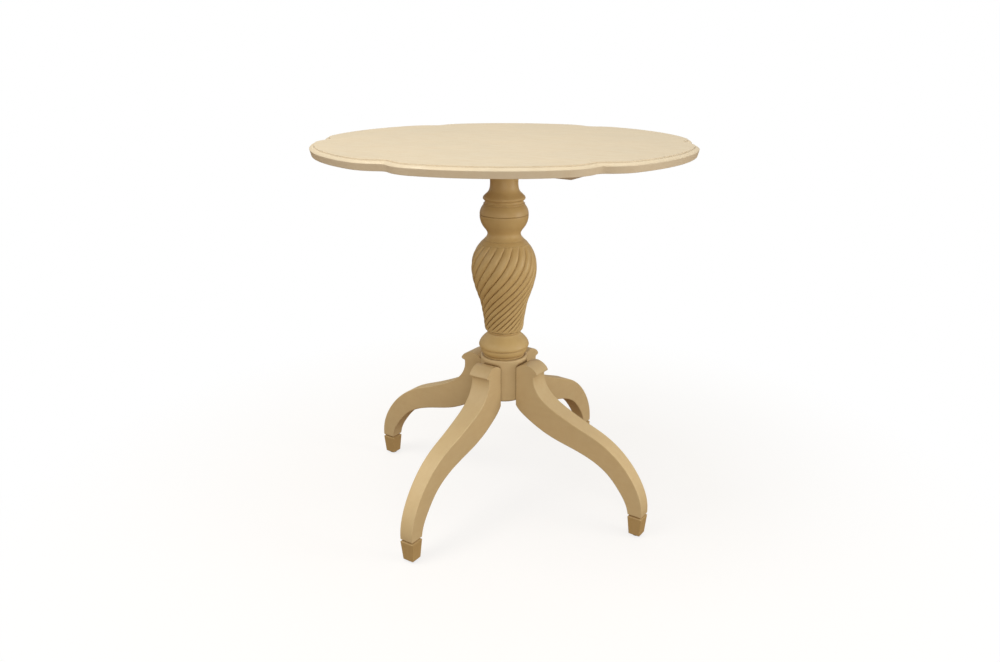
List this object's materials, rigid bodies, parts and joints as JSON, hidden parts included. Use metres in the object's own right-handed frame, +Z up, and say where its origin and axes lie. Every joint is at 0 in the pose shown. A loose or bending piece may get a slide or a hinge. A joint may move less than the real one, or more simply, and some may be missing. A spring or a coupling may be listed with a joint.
{
  "type": "tilt top table",
  "caption": "Painted wooden tilt top table: scalloped round top on a hinged block, turned column with spiral reeding, hub and curved legs ending in square tapered feet.",
  "frame": {"origin": "on the floor under the column's axis, the centre of the bottom of the bounding box", "axes": "+Z up; the four legs point along +X, -X, +Y and -Y; the bearers run along X; the top tilts about an axis parallel to Y near the block's -X edge, so that its +X side rises"},
  "size_m": [0.7148, 0.7062, 0.737],
  "materials": {
    "painted_wood": "satin ivory paint over wood, lightly toned in the recesses",
    "bare_wood": "unfinished hardwood",
    "brass": "aged satin brass",
    "steel": "zinc plated steel",
    "glide_plastic": "dark matt plastic"
  },
  "bodies": {
    "base": {"column": "painted_wood", "column_wedge": "bare_wood", "foot_back": "painted_wood", "foot_dowels": "bare_wood", "foot_front": "painted_wood", "foot_left": "painted_wood", "foot_right": "painted_wood", "glide_back": "glide_plastic", "glide_front": "glide_plastic", "glide_left": "glide_plastic", "glide_right": "glide_plastic", "hub": "painted_wood", "hub_plate": "steel", "hub_screws": "steel", "keeper_plate": "brass", "keeper_screws": "brass", "leg_back": "painted_wood", "leg_front": "painted_wood", "leg_left": "painted_wood", "leg_right": "painted_wood", "pivot_block": "painted_wood", "pivot_pin_back": "steel", "pivot_pin_front": "steel", "pivot_washer_back": "brass", "pivot_washer_front": "brass"},
    "top": {"table_top": "painted_wood", "bearer_front": "painted_wood", "bearer_back": "painted_wood", "bearer_screws": "steel", "pivot_bush_front": "brass", "pivot_bush_back": "brass", "catch_case": "brass", "catch_screws": "brass"},
    "catch": {"catch_bolt": "brass", "catch_knob": "brass"}
  },
  "joints": [
    {"name": "top_tilt", "type": "hinge", "parent": "base", "child": "top", "pos_m": [-0.067, 0, 0.706], "axis": [0, -1, 0], "range_deg": [0, 90]},
    {"name": "catch_slide", "type": "slide", "parent": "top", "child": "catch", "axis": [-1, 0, 0], "range_m": [0, 0.01]}
  ]
}
